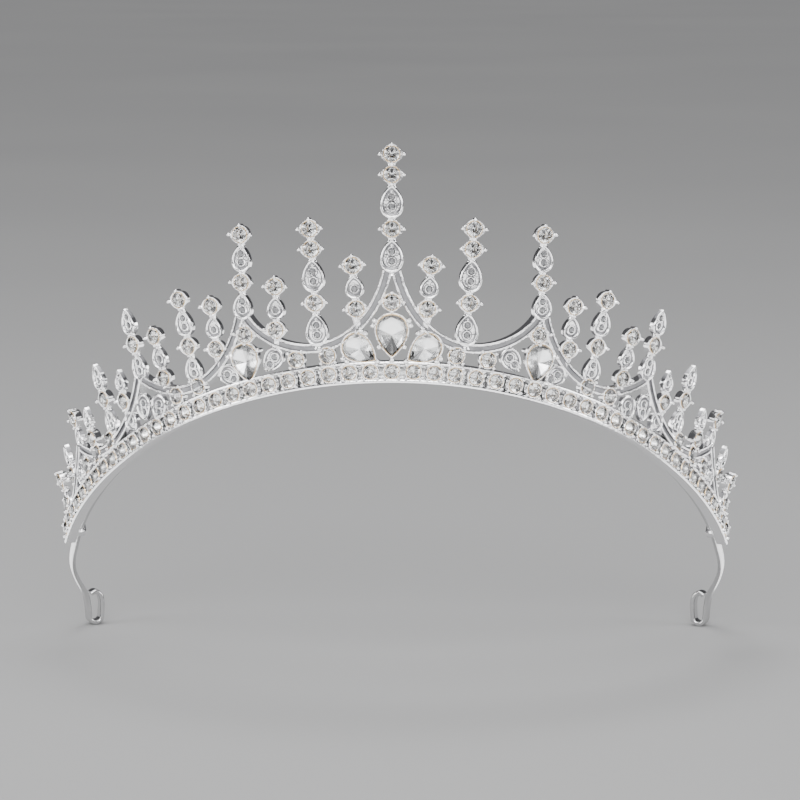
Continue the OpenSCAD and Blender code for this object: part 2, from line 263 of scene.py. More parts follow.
def drawn_strip():
    """Flat drawn wire: a greyer plate, greyer partly as painted shade from the casting in front of it, with
    fine lines along its length.
    """
    paint = Paint("drawn_strip")
    along = paint.node("TexCoord", output="UV")
    lines = paint.noise(paint.node("Mapping", None, {"Vector": along, "Scale": (4, 90, 1)}), 6, 4.0)
    cloud = paint.noise(paint.place(), 150)
    colour = paint.blend(cloud, (0.56, 0.56, 0.565), (0.72, 0.72, 0.72))
    relief = paint.bump(lines, 0.15, 0.0001)
    return paint.surface(Base_Color=colour, Metallic=1.0, Roughness=0.13 + lines * 0.14, Normal=relief)


def clear_crystal():
    """Clear cut crystal with a trace of cool and warm fire in it."""
    paint = Paint("clear_crystal")
    fire = paint.noise(paint.place(), 900, 0.0)
    colour = paint.blend(fire, (0.94, 0.97, 1.0), (1.0, 0.985, 0.96))
    return paint.surface(Base_Color=colour, Roughness=fire * 0.03, IOR=1.6, Transmission_Weight=1.0)


def mirror_foil():
    """Mirror foil behind the crystal, with painted reflections that make it brighter on some facets than on
    others.
    """
    paint = Paint("mirror_foil")
    painted_reflection = paint.node("Attribute", {"attribute_name": "painted_reflection"}, output=2)
    cloud = paint.noise(paint.place(), 700)
    colour = paint.blend(painted_reflection - cloud * 0.1, (0.05, 0.05, 0.055), (1.0, 1.0, 1.0))
    return paint.surface(Base_Color=colour, Metallic=1.0, Roughness=0.04 + cloud * 0.06 + painted_reflection * 0.12)


def amber_lacquer():
    """Lacquer that seals the foil, seen as a thin warm line round the girdle."""
    paint = Paint("amber_lacquer")
    cloud = paint.noise(paint.place(), 700)
    colour = paint.blend(cloud, (0.66, 0.42, 0.18), (0.88, 0.68, 0.40))
    return paint.surface(Base_Color=colour, Metallic=0.6, Roughness=0.2 + cloud * 0.1)


SILVER = plated_silver()
# Darker metal painted as shade in recesses and round small stones
PAINTED_SHADE = painted_shade_metal()
STRIP = drawn_strip()
CRYSTAL = clear_crystal()
FOIL = mirror_foil()
AMBER = amber_lacquer()


# ---- Modelling by hand ----


# Turn between two faces past which their edge is shaded sharp, and past which it is rounded
SHADED_SHARP = 38
ROUNDED = 35


def take(obj):
    """Makes obj the only thing selected."""
    bpy.ops.object.select_all(action="DESELECT")
    obj.select_set(True)
    bpy.context.view_layer.objects.active = obj
    return obj


def pick(obj, test):
    """Opens obj for editing with only the faces that pass the test selected."""
    take(obj)
    bpy.ops.object.mode_set(mode="EDIT")
    bpy.ops.mesh.select_mode(type="FACE")
    bpy.ops.mesh.select_all(action="DESELECT")
    bpy.ops.object.mode_set(mode="OBJECT")
    for face in obj.data.polygons:
        face.select = test(face)
    bpy.ops.object.mode_set(mode="EDIT")


def done():
    bpy.ops.object.mode_set(mode="OBJECT")


def draw(width, length, height):
    """Draws the picked face out or in: scaled about the middle, and moved along Z."""
    bpy.ops.mesh.extrude_region_move(TRANSFORM_OT_translate={"value": (0, 0, height)})
    bpy.ops.transform.resize(value=(width, length, 1), center_override=(0, 0, 0))


def soften(obj, width, segments=1):
    """Rounds the sharp edges of a finished shape."""
    take(obj)
    edge = obj.modifiers.new("edge", "BEVEL")
    edge.width = width
    edge.segments = segments
    edge.limit_method = "ANGLE"
    edge.angle_limit = radians(ROUNDED)
    bpy.ops.object.modifier_apply(modifier="edge")


def outwards(obj, nearest=0.0001):
    """Merges corners closer than the nearest and turns every face outwards."""
    pick(obj, lambda face: True)
    bpy.ops.mesh.remove_doubles(threshold=nearest)
    bpy.ops.mesh.normals_make_consistent(inside=False)
    done()


def added(operator, **settings):
    """A new primitive with its place applied."""
    bpy.ops.object.select_all(action="DESELECT")
    operator(**settings)
    bpy.ops.object.transform_apply(location=True)
    return bpy.context.object


def dress(obj, *materials):
    obj.data.materials.clear()
    for material in materials:
        obj.data.materials.append(material)
    return obj


def plate(obj, sunk):
    """Bright silver, with darker metal painted as shade on the faces that pass the test."""
    dress(obj, SILVER, PAINTED_SHADE)
    for face in obj.data.polygons:
        face.material_index = 1 if sunk(face) else 0
    return obj


def joined(name, parts):
    """One object from several, which keep their shapes and finishes."""
    bpy.ops.object.select_all(action="DESELECT")
    for part in parts:
        part.select_set(True)
    bpy.context.view_layer.objects.active = parts[0]
    if len(parts) > 1:
        bpy.ops.object.join()
    whole = bpy.context.view_layer.objects.active
    whole.name = name
    whole.data.name = name
    return whole


def copied(master, place):
    """A copy of a master with its own mesh, set at its place."""
    copy = master.copy()
    copy.data = master.data.copy()
    bpy.context.scene.collection.objects.link(copy)
    copy.data.transform(place)
    return copy


def hand_in(piece, node, smooth=True):
    """Rides the piece on the tiara in place of its CAD node."""
    take(piece)
    if smooth:
        bpy.ops.object.shade_smooth_by_angle(angle=radians(SHADED_SHARP))
    else:
        bpy.ops.object.shade_flat()
    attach(piece, "root")
    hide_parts(node)


def set_out(name, node, placings, smooth=True):
    """A piece made of copies of masters: placings are pairs of a master and its place."""
    hand_in(joined(name, [copied(master, MM @ place) for master, place in placings]), node, smooth)


# ---- Places on the wall ----


def edge_z(a):
    return EDGE_TOP - EDGE_DROP * (1 - cos(radians(a)))


def edge_lean(a):
    """Angle by which the square to the lower edge leans away from the middle."""
    return degrees(atan(EDGE_DROP * sin(radians(a)) / BAND_R))


def above_edge(a, h):
    """Angle and height of a spot h above the lower edge, square to it."""
    lean = radians(edge_lean(a))
    return a + degrees(h * sin(lean) / BAND_R), edge_z(a) + h * cos(lean)


def on_band(a, z, lean=0, flare=0):
    """The place of a shape on the wall, with its zero at the front of the casting."""
    return (
        Matrix.Rotation(radians(a), 4, "Z")
        @ Matrix.Translation((0, -BAND_R, z))
        @ Matrix.Rotation(radians(flare), 4, "X")
        @ Matrix.Rotation(radians(lean), 4, "Y")
        @ Matrix.Rotation(radians(90), 4, "X")
    )


def shift(x=0.0, y=0.0, z=0.0):
    return Matrix.Translation((x, y, z))


def row_angles():
    """Angles of the base row's stones, evenly spaced along the row."""
    step = 0.05
    reached, angle, angles = 0.0, 0.0, [0.0]
    while angle < BAND_END:
        reached += BAND_R * radians(step) / cos(radians(edge_lean(angle + step / 2)))
        angle += step
        if reached >= BASE_PITCH * len(angles):
            angles.append(angle)
    return [-a for a in angles[:0:-1]] + angles


# ---- Outlines ----


# How sharply each outline narrows to its point
SHARPNESS = {"pear": 0.55, "leaf": 0.95, "drop": 0.75}


def outline(kind, w, l, t):
    """A spot on an outline, t degrees round from its point at +Y."""
    t = radians(t)
    if kind == "round":
        return w / 2 * sin(t), l / 2 * cos(t)
    sharp = SHARPNESS[kind]
    belly = atan((1 + sharp) ** 0.5)
    widest = 2 * cos(belly) * sin(belly) ** (1 + sharp)
    taper = sin(abs(t) % (2 * pi) / 2) ** sharp
    return w / 2 * sin(t) * taper / widest, l / 2 * cos(t)


def blank(kind, w, l, back, front, sides):
    """A solid block with that outline."""
    depth, spot = front - back, (0, 0, (front + back) / 2)
    block = added(bpy.ops.mesh.primitive_cylinder_add, vertices=sides, radius=1, depth=depth, location=spot)
    for vertex in block.data.vertices:
        t = degrees(Vector((0, 1)).angle_signed(Vector(vertex.co.xy)))
        vertex.co.xy = outline(kind, w, l, t)
    return block


def front_face(obj):
    """A test for the flat face that lies furthest forward."""
    top = max(face.center.z for face in obj.data.polygons)
    return lambda face: face.normal.z > 0.9 and face.center.z > top - 0.001


def back_face(obj):
    """A test for the flat face that lies furthest back."""
    low = min(face.center.z for face in obj.data.polygons)
    return lambda face: face.normal.z < -0.9 and face.center.z < low + 0.001


# ---- Settings ----


CUP_LIP = -0.12
SEAT_DEPTH = 0.4
LEDGE_W = 0.25
ROUND_WALL = 0.26
PEAR_WALL = 0.35
# A cup's back, as shares of its lip: its outside, and the hole through it
BACK_TAPER, BACK_HOLE = 0.9, 0.8
# A claw's radius, and how far its tip stands in front of the casting
ROUND_CLAW = (0.4, 0.5)
PEAR_CLAW = (0.55, 0.8)
# Height of a claw's foot, behind the front of the casting, and how much wider it is than the tip
CLAW_FOOT = -1.4
FOOT_FLARE = 1.5

# How far the claws stand out from a round stone, by turns: in the spires, and in the rows
SPIRE_REACHES = (0.78, 0.27)
ROW_REACHES = (0.45, 0.45)

# The neck from its lower end up: scale, and length
NECK_W, NECK_DEPTH = 2.0, 1.1
NECK_PROFILE = ((0.82, 0.16), (0.94, 0.14), (1.0, 0.16), (1.06, 0.14), (1.22, 0.16), (1.0, 0.12))
# A neck's length between two elements, and how far it runs up into the upper one
NECK_L, NECK_BURIED = 1.1, 0.55
# Length of a foot that is buried in the element above it and in the arch
FOOT_BURIED = 0.9

# How a frame's rim rounds over and slopes down to the sunk plate: narrowing, and height
RIM_FRONT = -0.25
FRAME_DEPTH = 1.2
PLATE_FRONT = -0.52
RIM_PROFILE = (
    (0.12, -0.08),
    (0.36, 0),
    (0.62, -0.03),
    (0.84, -0.16),
    (0.98, -0.56),
    (1.3, -0.64),
    (1.45, PLATE_FRONT),
)
RING_R, RING_HEIGHT = 0.16, -0.38
BEAD_R, BEAD_HEIGHT = 0.17, -0.34
# From a small stone to the bead beyond it
BEAD_RISE = 1.05


def is_inside(face, reach):
    """A face within reach of the middle that looks back towards it."""
    return face.center.xy.length < reach and face.normal.xy.dot(face.center.xy) < -0.02


def cup(kind, w, l, wall, sides):
    """An open-backed cup that narrows to the back, with a ledge inside its lip for the stone."""
    out_w, out_l = w + 2 * wall, l + 2 * wall
    ledge = 2 * LEDGE_W
    shell = blank(kind, out_w, out_l, -SETTING_DEPTH, CUP_LIP, sides)
    pick(shell, front_face(shell))
    draw(w / out_w, l / out_l, 0)
    draw(1, 1, -SEAT_DEPTH)
    draw((w - ledge) / w, (l - ledge) / l, 0)
    done()
    pick(shell, back_face(shell))
    bpy.ops.transform.resize(value=(BACK_TAPER, BACK_TAPER, 1), center_override=(0, 0, 0))
    draw(BACK_HOLE * w / out_w, BACK_HOLE * l / out_l, 0)
    done()
    # The two end faces have the most corners, and bridging them opens the cup through
    ends = sorted(shell.data.polygons, key=lambda face: -len(face.vertices))[:2]
    numbers = {face.index for face in ends}
    pick(shell, lambda face: face.index in numbers)
    bpy.ops.mesh.bridge_edge_loops()
    done()
    outwards(shell)
    # The inner walls of the cup get darker metal as painted shade
    plate(shell, lambda face: is_inside(face, out_w / 2 - 0.1))
    soften(shell, 0.07)
    return shell


def bead(r, x=0, y=0, z=0, rings=5):
    """A small round ball of silver."""
    spot = (x, y, z)
    ball = added(bpy.ops.mesh.primitive_uv_sphere_add, segments=8, ring_count=rings, radius=r, location=spot)
    return dress(ball, SILVER)


def claw(r, front, splay=0.0):
    """A post with a round bead for its tip, whose foot stands closer in to -X."""
    middle = front - r
    post = bead(r, z=middle, rings=6)
    below = middle - 0.6 * r
    pick(post, lambda face: all(post.data.vertices[v].co.z < below for v in face.vertices))
    bpy.ops.transform.resize(value=(FOOT_FLARE, FOOT_FLARE, 1), center_override=(0, 0, 0))
    bpy.ops.transform.translate(value=(-splay, 0, CLAW_FOOT - middle + 0.9 * r))
    done()
    return post


def winged(shell, d, wing):
    """Draws the lip of a round cup out to a lozenge, towards the claws at its sides."""
    outer, low = d / 2 + 0.1, -1.0
    for vertex in shell.data.vertices:
        spot = vertex.co.xy
        if spot.length > outer and vertex.co.z > low:
            vertex.co.xy = spot * (1 + wing * abs(spot.x / spot.length) ** 5 / spot.length)


def claw_cup(d, turn, reaches):
    """A cup for a round stone with four claws, which stand out from the stone by the reaches in turn."""
    parts = [cup("round", d, d, ROUND_WALL, 24)]
    winged(parts[0], d, 0.65 * (reaches[0] - reaches[1]))
    for k in range(4):
        reach = reaches[k % 2]
        post = claw(*ROUND_CLAW, reach - 0.2)
        post.data.transform(Matrix.Rotation(radians(turn + 90 * k), 4, "Z") @ shift(x=d / 2 + reach))
        parts.append(post)
    return joined("claw_cup", parts)


def neck():
    """A waisted post, drawn up from a thin disc, one long along Y with its top at zero."""
    post = blank("round", NECK_W, NECK_DEPTH, -0.5, -0.38, 12)
    for scale, length in NECK_PROFILE:
        pick(post, front_face(post))
        draw(scale, scale, length)
        done()
    post.data.transform(shift(y=-0.5, z=-0.7) @ Matrix.Rotation(radians(-90), 4, "X"))
    outwards(post)
    return dress(post, SILVER)


def ring(y):
    """A bright-cut ring round a small stone."""
    hoop = added(
        bpy.ops.mesh.primitive_torus_add,
        major_radius=PAVE_D / 2 + 0.12,
        minor_radius=RING_R,
        major_segments=16,
        minor_segments=6,
        location=(0, y, RING_HEIGHT),
    )
    return dress(hoop, SILVER)


def carve(block, w, start, profile):
    """Draws the front face of a block inwards through a profile."""
    pick(block, front_face(block))
    reached = w
    for narrowing, height in profile:
        size = (w - narrowing) / reached
        draw(size, size, height - start)
        reached, start = w - narrowing, height
    done()


def is_sunk(face, w, l):
    """A face on the plate of a frame or on the slope down to it."""
    return abs(face.center.x) < w / 2 - 0.35 and abs(face.center.y) < l / 2 - 0.4


def painted_shadow_disc(y):
    """A disc of darker metal under a small stone's ring, painted as shadow round the stone."""
    d = PAVE_D + 0.95
    disc = blank("round", d, d, PLATE_FRONT - 0.2, PLATE_FRONT + 0.02, 16)
    disc.data.transform(shift(y=y))
    return dress(disc, PAINTED_SHADE)


def bead_spots(heights):
    """Where a frame's beads sit: a pair between two stones or beyond a lone one, and one at the tip."""
    if len(heights) > 1:
        side, pair_y = 0.78, sum(heights) / len(heights)
    else:
        side, pair_y = 0.4, heights[0] + BEAD_RISE
    return (-side, pair_y), (side, pair_y), (0, max(heights) + BEAD_RISE)


def frame_shell(half, w, heights, kind):
    """A raised rounded rim round a sunk plate, with a ring round each small stone and three beads."""
    l = 2 * half
    shell = blank(kind, w, l, -FRAME_DEPTH, RIM_FRONT, 28)
    carve(shell, w, RIM_FRONT, RIM_PROFILE)
    # The back is hollowed a little inside a rim
    rim_w, rim_l = 0.9, 1.3
    pick(shell, back_face(shell))
    draw((w - rim_w) / w, (l - rim_l) / l, 0)
    draw(0.96, 0.96, 0.3)
    done()
    outwards(shell)
    # The trough at the foot of the rim's inner slope gets darker metal as painted shade
    low, high = -0.9, PLATE_FRONT - 0.01
    plate(shell, lambda face: low < face.center.z < high and is_sunk(face, w, l))
    parts = [shell]
    for y in heights:
        parts += [painted_shadow_disc(y), ring(y)]
    parts += [bead(BEAD_R, x, y, BEAD_HEIGHT) for x, y in bead_spots(heights)]
    return joined("frame_shell", parts)


def pear_cup(w, l, claws_at):
    """A cup for a pear stone, with claws at the given turns from its point."""
    spread = 1.3
    parts = [cup("drop", w, l, PEAR_WALL, 32)]
    master = claw(*PEAR_CLAW)
    for t in claws_at:
        x, y = outline("drop", w + spread, l + spread, t)
        parts.append(copied(master, shift(x, y)))
    bpy.data.objects.remove(master)
    return joined("pear_cup", parts)


# ---- Stones ----


# Painted reflections: how bright the foil is painted behind one facet after another, and how far along the
# list each facet steps
PAINTED_REFLECTIONS = (0.95, 0.12, 0.75, 1.0, 0.4, 0.9, 0.05, 0.6, 1.0, 0.3, 0.85)
REFLECTION_STEP = 5
# Painted shade of the dark kite in a pear stone, and how fast the kite widens from the middle to the point
KITE_PAINTED_SHADE = 0.3
KITE_SLOPE = 0.34


def painted_foil_reflection(face, kite, dullest):
    """How bright the foil is painted behind a facet, as a painted reflection."""
    x, y = face.center.xy
    if kite:
        return KITE_PAINTED_SHADE if y > 0 and abs(x) < KITE_SLOPE * y else 1.0
    return max(dullest, PAINTED_REFLECTIONS[face.index * REFLECTION_STEP % len(PAINTED_REFLECTIONS)])


def cut_stone(kind, w, l, rings, kite=False, dullest=0.0):
    """A faceted stone: rings of corners, each as size, height, count and turn, wrapped in flat facets."""
    corners = []
    for size, height, count, turn in rings:
        for k in range(count):
            x, y = outline(kind, w * size, l * size, turn + 360 * k / count)
            corners.append((x, y, height))
    mesh = bpy.data.meshes.new("cut_stone")
    mesh.from_pydata(corners, [], [])
    stone = bpy.data.objects.new("cut_stone", mesh)
    bpy.context.scene.collection.objects.link(stone)
    take(stone)
    bpy.ops.object.mode_set(mode="EDIT")
    bpy.ops.mesh.select_all(action="SELECT")
    bpy.ops.mesh.convex_hull()
    bpy.ops.mesh.normals_make_consistent(inside=False)
    done()
    dress(stone, CRYSTAL, FOIL, AMBER)
    girdle = [height for size, height, count, turn in rings if size > 0.9]
    # Each facet gets a painted reflection: how bright its foil is painted
    painted_reflection = stone.data.attributes.new("painted_reflection", "FLOAT", "FACE")
    for face in stone.data.polygons:
        if min(girdle) < face.center.z < max(girdle):
            face.material_index = 2
        else:
            face.material_index = 0 if face.normal.z > 0 else 1
        painted_reflection.data[face.index].value = painted_foil_reflection(face, kite, dullest)
    return stone


def round_stone(d):
    """A brilliant cut: eight-sided table, kites round it, and a pointed back of eight mains."""
    return cut_stone("round", d, d, (
        (0.56, 0.14 * d, 8, 0),
        (0.8, 0.085 * d, 8, 22.5),
        (0.95, -0.03, 16, 0),
        (1.0, -0.18, 16, 0),
        (0.5, -0.16 - 0.26 * d, 8, 22.5),
        (0.02, -0.1 - 0.44 * d, 3, 0),
    ))


def small_stone(d):
    """The same cut, simpler, for the smallest stones."""
    return cut_stone("round", d, d, (
        (0.55, 0.16 * d, 6, 0),
        (0.95, 0.02, 12, 0),
        (1.0, -0.08, 12, 0),
        (0.02, -0.4 * d, 3, 0),
    ), dullest=0.55)


def pear_stone(w, l):
    """A pear cut with a tall table, two rows of crown facets and a dark kite of painted shade at its point.
    """
    return cut_stone("drop", w, l, (
        (0.7, 0.5, 8, 0),
        (0.88, 0.3, 8, 22.5),
        (0.97, -0.02, 16, 0),
        (1.0, -0.2, 16, 0),
        (0.4, -0.65, 6, 30),
        (0.02, -0.95, 3, 0),
    ), kite=True)


# ---- Bars bent round the band ----


def bar_profile(w, depth, groove=0.0):
    """Section of a bar, as across and outwards, with its corners taken off and a groove if asked."""
    half, nip, turn, slope = w / 2, 0.12, 0.06, 0.08
    back = [(-half, nip - depth), (nip - half, -depth), (half - nip, -depth), (half, nip - depth)]
    if not groove:
        r = 0.2
        return back + [
            (half, -r), (half - turn, -turn), (half - r, 0),
            (r - half, 0), (turn - half, -turn), (-half, -r),
        ]
    lip = half - LIP_W
    return back + [
        (half, -nip), (half - nip, 0), (lip + turn, 0), (lip, -turn),
        (lip - slope, -groove), (slope - lip, -groove),
        (-lip, -turn), (-lip - turn, 0), (nip - half, 0), (-half, -nip),
    ]


def poly_curve(name, points, closed):
    data = bpy.data.curves.new(name, "CURVE")
    data.dimensions = "2D"
    data.fill_mode = "NONE"
    spline = data.splines.new("POLY")
    spline.points.add(len(points) - 1)
    for spot, point in zip(points, spline.points):
        point.co = (spot[0], spot[1], 0, 1)
    spline.use_cyclic_u = closed
    made = bpy.data.objects.new(name, data)
    bpy.context.scene.collection.objects.link(made)
    return made


def bent_bar(name, spots, profile):
    """A bar drawn flat along its spots, stood on edge and curled round the band."""
    section = poly_curve("section", profile, True)
    path = poly_curve(name, [(BAND_R * radians(a), z) for a, z in spots], False)
    path.data.bevel_mode = "OBJECT"
    path.data.bevel_object = section
    path.data.use_fill_caps = True
    take(path)
    bpy.ops.object.convert(target="MESH")
    made = bpy.context.object
    bpy.data.objects.remove(section)
    made.data.transform(Matrix.Rotation(radians(90), 4, "X"))
    curl = made.modifiers.new("curl", "SIMPLE_DEFORM")
    curl.deform_method = "BEND"
    curl.deform_axis = "Z"
    length = max(v.co.x for v in made.data.vertices) - min(v.co.x for v in made.data.vertices)
    curl.angle = length / BAND_R
    bpy.ops.object.modifier_apply(modifier="curl")
    made.data.transform(MM @ shift(y=-BAND_R))
    outwards(made, NEAREST_IN_METRES)
    # The groove of an arch gets darker metal as painted shade
    return plate(made, in_groove)


def in_groove(face):
    """The floor and the walls of an arch's groove, sunk below the front of the casting, where darker metal
    is painted as shade.
    """
    out = face.center.xy.length * 1000 - BAND_R
    return -GROOVE_DEPTH - 0.05 < out < -0.15


def arch_side(peak, valley, sweep):
    """Part of an oval from the valley up to the peak."""
    steps = 20
    spots = []
    for i in range(steps + 1):
        t = radians(sweep * i / steps)
        across = sin(t) / sin(radians(sweep))
        up = (1 - cos(t)) / (1 - cos(radians(sweep)))
        spots.append((valley[0] + (peak[0] - valley[0]) * across, valley[1] + (peak[1] - valley[1]) * up))
    return spots


def make_arches():
    profile = bar_profile(ARCH_W, CAST_DEPTH, GROOVE_DEPTH)
    for name, (peak, valley, other, sweeps) in ARCHES.items():
        spots = arch_side(peak, valley, sweeps[0])[::-1]
        if other:
            spots += arch_side(other, valley, sweeps[1])[1:]
        for side, sign in SIDES:
            bar = bent_bar(f"{name}_{side}_bar", [(sign * a, z) for a, z in spots], profile)
            hand_in(bar, f"{name}_{side}")


def make_rim_and_rail():
    for node, middle, height in (("lower_rim", RIM_H / 2, RIM_H), ("upper_rail", RAIL_MIDDLE_H, RAIL_H)):
        spots = [above_edge(a, middle) for a in range(-BAND_END, BAND_END + 1)]
        hand_in(bent_bar(node + "_bar", spots, bar_profile(height, CAST_DEPTH)), node)


# ---- Headband strip ----


def smoothed(stations, steps):
    """More stations along a smooth curve through the given ones, each a point and a width direction."""
    rows = [point[:] + width[:] for point, width in stations]
    rows = [rows[0]] + rows + [rows[-1]]
    fine = []
    for before, here, there, after in zip(rows, rows[1:], rows[2:], rows[3:]):
        for k in range(steps):
            t = k / steps
            row = [
                0.5 * (
                    2 * h + (n - b) * t
                    + (2 * b - 5 * h + 4 * n - f) * t * t
                    + (3 * h - b - 3 * n + f) * t ** 3
                )
                for b, h, n, f in zip(before, here, there, after)
            ]
            fine.append((Vector(row[:3]), Vector(row[3:]).normalized()))
    return fine + [(Vector(stations[-1][0]), Vector(stations[-1][1]))]


def strip_route():
    """Half of the strip, from the middle front along the leg and round the loop to its tip."""
    r = STRIP_R - STRIP_T / 2
    arc = []
    for a in range(0, ARC_END + 1, 2):
        angle, z = above_edge(a, STRIP_H)
        lean = radians(edge_lean(a))
        side = Vector((cos(radians(angle)), sin(radians(angle)), 0))
        width = Vector((0, 0, 1)) * cos(lean) + side * sin(lean)
        arc.append(((r * sin(radians(angle)), -r * cos(radians(angle)), z), width))
    end_width = arc[-1][1]
    # The strip's width turns from the slope of the band to level along the leg
    level = Vector((sin(radians(LEG_TURN)), cos(radians(LEG_TURN)), 0))
    through = Vector((level.y, -level.x, 0))
    up = Vector((0, 0, 1))
    leg = []
    for i, point in enumerate(LEG_POINTS):
        share = min(1, (i + 1) / (len(LEG_POINTS) - 1))
        leg.append((point, (end_width.lerp(level, share)).normalized()))
    turn = []
    for k in range(0, 181, 20):
        t = radians(k)
        turn.append((LOOP_CENTRE + LOOP_R * (cos(t) * through - sin(t) * up), level))
    tip = [(LOOP_CENTRE + out * through + rise * up, level) for out, rise in LOOP_TIP]
    return smoothed([(Vector(p), Vector(w)) for p, w in arc + leg + turn + tip], 3)


def strip_section():
    """Rounded section of the strip, as across its width and through its thickness."""
    half_w, half_t, r = STRIP_W / 2, STRIP_T / 2, STRIP_CORNER_R
    corners = ((1, 1, 0), (-1, 1, 90), (-1, -1, 180), (1, -1, 270))
    section = []
    for x, y, start in corners:
        for k in range(4):
            t = radians(start + 30 * k)
            section.append((x * (half_w - r) + r * cos(t), y * (half_t - r) + r * sin(t)))
    return section


def make_headband():
    """One flat wire behind the casting, whose ends fold in to loops."""
    half = strip_route()
    mirrored = [(Vector((-p.x, p.y, p.z)), Vector((-w.x, w.y, w.z))) for p, w in half[:0:-1]]
    route = mirrored + half
    section = strip_section()
    count, sides = len(route), len(section)
    corners = []
    for i, (point, width) in enumerate(route):
        along = (route[min(i + 1, count - 1)][0] - route[max(i - 1, 0)][0]).normalized()
        width = (width - along * width.dot(along)).normalized()
        through = along.cross(width)
        corners += [point + width * x + through * y for x, y in section]
    faces = [
        (i * sides + j, i * sides + (j + 1) % sides, (i + 1) * sides + (j + 1) % sides, (i + 1) * sides + j)
        for i in range(count - 1) for j in range(sides)
    ]
    faces += [tuple(range(sides)), tuple(range((count - 1) * sides, count * sides))]
    mesh = bpy.data.meshes.new("headband_wire")
    mesh.from_pydata(corners, [], faces)
    lay = mesh.uv_layers.new(name="along")
    for face in mesh.polygons:
        for loop in face.loop_indices:
            vertex = mesh.loops[loop].vertex_index
            lay.data[loop].uv = (vertex // sides / STATIONS_A_TURN, vertex % sides / sides)
    wire = bpy.data.objects.new("headband_wire", mesh)
    bpy.context.scene.collection.objects.link(wire)
    mesh.transform(MM)
    outwards(wire, NEAREST_IN_METRES)
    dress(wire, STRIP)
    hand_in(wire, "headband_strip")


def make_clips():
    """A small clip folded round the strip near each end of the casting."""
    master = added(bpy.ops.mesh.primitive_cube_add, size=1)
    depth = STRIP_T + 0.7
    wide = STRIP_W + 1.1
    master.data.transform(Matrix.Diagonal((CLIP_L, wide, depth, 1)))
    pick(master, lambda face: face.normal.z > 0.9)
    bpy.ops.mesh.inset(thickness=0.35, depth=-0.2)
    done()
    soften(master, 0.18, 3)
    master.data.transform(shift(z=-CAST_DEPTH - STRIP_GAP - STRIP_T / 2 - 0.25))
    dress(master, SILVER)
    angle, z = above_edge(CLIP_ANGLE, STRIP_H)
    places = [(master, on_band(sign * angle, z, sign * edge_lean(CLIP_ANGLE))) for side, sign in SIDES]
    set_out("end_clip_pair", "end_clips", places)
    bpy.data.objects.remove(master)


# ---- Rows, clusters and spires ----


def element_heights(kinds):
    """Kind, height above the lowest one and half length of each element."""
    half = [ROUND_HALF if kind == "R" else FRAMES[kind][0] for kind in kinds]
    heights = [0.0]
    for below, above in zip(half, half[1:]):
        heights.append(heights[-1] + below + above)
    return list(zip(kinds, heights, half))


def spire_place(spec, sign):
    a, z, lean, flare = spec[:4]
    return on_band(sign * a, z, sign * lean, flare)


def make_spire(name, spec, sign, masters):
    """A stack of cups and frames on waisted necks."""
    place = spire_place(spec, sign)
    foot, kinds = spec[4:]
    placings = []
    for i, (kind, y, half) in enumerate(element_heights(kinds)):
        placings.append((masters[kind], place @ shift(y=y)))
        long = foot + FOOT_BURIED if i == 0 else NECK_L
        top = place @ shift(y=y - half + NECK_BURIED)
        placings.append((masters["neck"], top @ Matrix.Diagonal((1, long, 1, 1))))
    set_out(name + "_metal", name, placings)


def all_spires():
    """Node name, table row and side of every spire."""
    spires = [("spire_centre", CENTRE_SPIRE, 1)]
    for side, sign in SIDES:
        for number, spec in enumerate(SIDE_SPIRES, 1):
            if side == "left" or number != LEFT_ONLY:
                spires.append((f"spire_{side}_{number}", spec, sign))
    return spires


def small_stone_places(place, kind):
    return [place @ shift(y=y, z=-PAVE_SUNK) for y in FRAMES[kind][2]]


def make_spires():
    masters = {kind: frame_shell(*FRAMES[kind]) for kind in FRAMES}
    masters["R"] = claw_cup(ROUND_D, 0, SPIRE_REACHES)
    masters["neck"] = neck()
    big, small = round_stone(ROUND_D), small_stone(PAVE_D)
    round_places, small_places = [], []
    for name, spec, sign in all_spires():
        make_spire(name, spec, sign, masters)
        for kind, y, half in element_heights(spec[5]):
            place = spire_place(spec, sign) @ shift(y=y)
            if kind == "R":
                round_places.append((big, place))
            else:
                small_places += [(small, spot) for spot in small_stone_places(place, kind)]
    set_out("spire_round_crystals", "spire_round_stones", round_places, False)
    set_out("spire_small_crystals", "spire_pave_stones", small_places, False)
    peaks = [on_band(a, z) for a, z in PEAK_ROUNDS]
    set_out("peak_round_cups", "peak_round_settings", [(masters["R"], place) for place in peaks])
    set_out("peak_round_crystals", "peak_round_stones", [(big, place) for place in peaks], False)
    make_fillers(masters, small)
    for master in [*masters.values(), big, small]:
        bpy.data.objects.remove(master)


def make_fillers(masters, small):
    """Small frames that fill the clusters under the side peaks."""
    frames, stones = [], []
    for side, sign in SIDES:
        for a, z, turn, kind in FILLERS:
            place = on_band(sign * a, z, sign * turn)
            frames.append((masters[kind], place))
            stones += [(small, spot) for spot in small_stone_places(place, kind)]
    set_out("filler_frame_set", "filler_frames", frames)
    set_out("filler_crystals", "filler_stones", stones, False)


def make_row(name, d, spots):
    """A row of claw cups with a stone in each, at spots given as angle, height and lean."""
    places = [on_band(a, z, lean) for a, z, lean in spots]
    cups, stones = claw_cup(d, 45, ROW_REACHES), round_stone(d)
    set_out(name + "_cups", name + "_settings", [(cups, place) for place in places])
    set_out(name + "_crystals", name + "_stones", [(stones, place) for place in places], False)
    bpy.data.objects.remove(cups)
    bpy.data.objects.remove(stones)


def make_rows():
    make_row("base", BASE_D, [(*above_edge(a, BASE_ROW_H), edge_lean(a)) for a in row_angles()])
    angles = [sign * a for side, sign in SIDES for a in GALLERY_ANGLES]
    make_row("gallery", GALLERY_D, [(*above_edge(a, GALLERY_H), edge_lean(a)) for a in angles])


